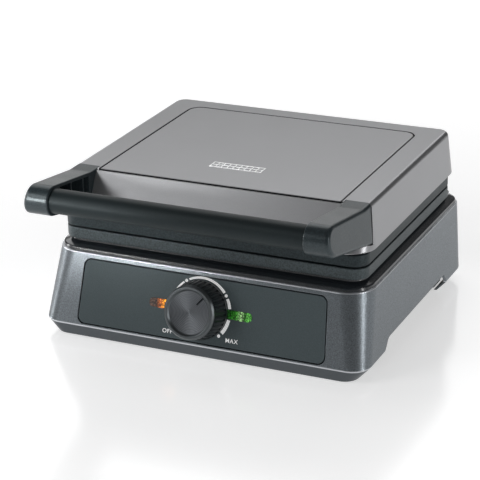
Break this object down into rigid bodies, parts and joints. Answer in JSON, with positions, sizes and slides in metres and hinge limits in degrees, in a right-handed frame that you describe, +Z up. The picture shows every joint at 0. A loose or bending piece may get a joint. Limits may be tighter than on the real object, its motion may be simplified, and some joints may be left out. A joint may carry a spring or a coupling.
{
  "type": "waffle maker",
  "caption": "Countertop waffle maker with a flared base, hinged flat lid, front handle bar between two arms, and a round control knob between two lamps.",
  "frame": {"origin": "on the surface that it stands on, under the middle of the whole object's footprint with the lid closed", "axes": "+Z up, -Y to the front where the handle and the knob are, +X to the user's right"},
  "size_m": [0.2846, 0.2966, 0.1407],
  "materials": {
    "housing_grey": "metallic grey speckle, satin",
    "bezel_black": "glossy near-black",
    "inner_black": "matte",
    "foot_rubber": "matte",
    "steel": "plain",
    "panel_grey": "fine satin grain",
    "lens_amber": "clear amber",
    "lens_green": "clear green",
    "lamp_glass": "clear",
    "ceramic_body": "matt phenolic",
    "sheet_alu": "rolled sheet",
    "frame_plastic": "fine moulded grain",
    "plate_coating": "non-stick coating, satin",
    "heater_steel": "heat-tinted",
    "inner_white": "matte",
    "hinge_black": "fine moulded grain",
    "lid_metal": "satin warm grey",
    "lid_grain": "grained grey",
    "arm_plastic": "fine moulded grain",
    "grip_plastic": "soft matte",
    "knob_grey": "satin",
    "knob_disc_metal": "spun",
    "pointer_black": "matte"
  },
  "bodies": {
    "base": {"base_housing": "housing_grey", "base_top_bezel": "bezel_black", "bottom_plate": "inner_black", "rubber_feet": "foot_rubber", "support_posts": "steel", "base_screws": "steel", "control_panel": "panel_grey", "control_carrier": "inner_black", "power_lamp_lens": "lens_amber", "ready_lamp_lens": "lens_green", "indicator_lamps": "lamp_glass", "thermostat": "ceramic_body", "lower_reflector": "sheet_alu", "lower_plate_frame": "frame_plastic", "lower_waffle_plate": "plate_coating", "lower_heating_element": "heater_steel", "thermal_fuse": "steel", "terminal_block": "inner_white", "cord_gland": "inner_black", "hinge_brackets": "hinge_black", "hinge_pins": "steel"},
    "lid": {"lid_hinge_knuckles": "hinge_black", "upper_plate_frame": "frame_plastic", "upper_waffle_plate": "plate_coating", "upper_heating_element": "heater_steel", "upper_reflector": "sheet_alu", "upper_pillars": "steel", "lid_shell": "lid_metal", "lid_top_panel": "lid_metal", "lid_front_panel": "lid_grain", "handle_arm_left": "arm_plastic", "handle_arm_right": "arm_plastic", "handle_bar": "grip_plastic", "handle_core": "steel", "handle_screws": "steel"},
    "knob": {"thermostat_shaft": "steel", "knob": "knob_grey", "knob_disc": "knob_disc_metal", "knob_pointer": "pointer_black"}
  },
  "joints": [
    {"name": "lid_hinge", "type": "hinge", "parent": "base", "child": "lid", "pos_m": [0, 0.1423, 0.084], "axis": [-1, 0, 0], "range_deg": [0, 100]},
    {"name": "knob_turn", "type": "hinge", "parent": "base", "child": "knob", "pos_m": [0, -0.10309, 0.0392], "axis": [0, -0.9614, 0.2752], "range_deg": [-95, 175]}
  ]
}
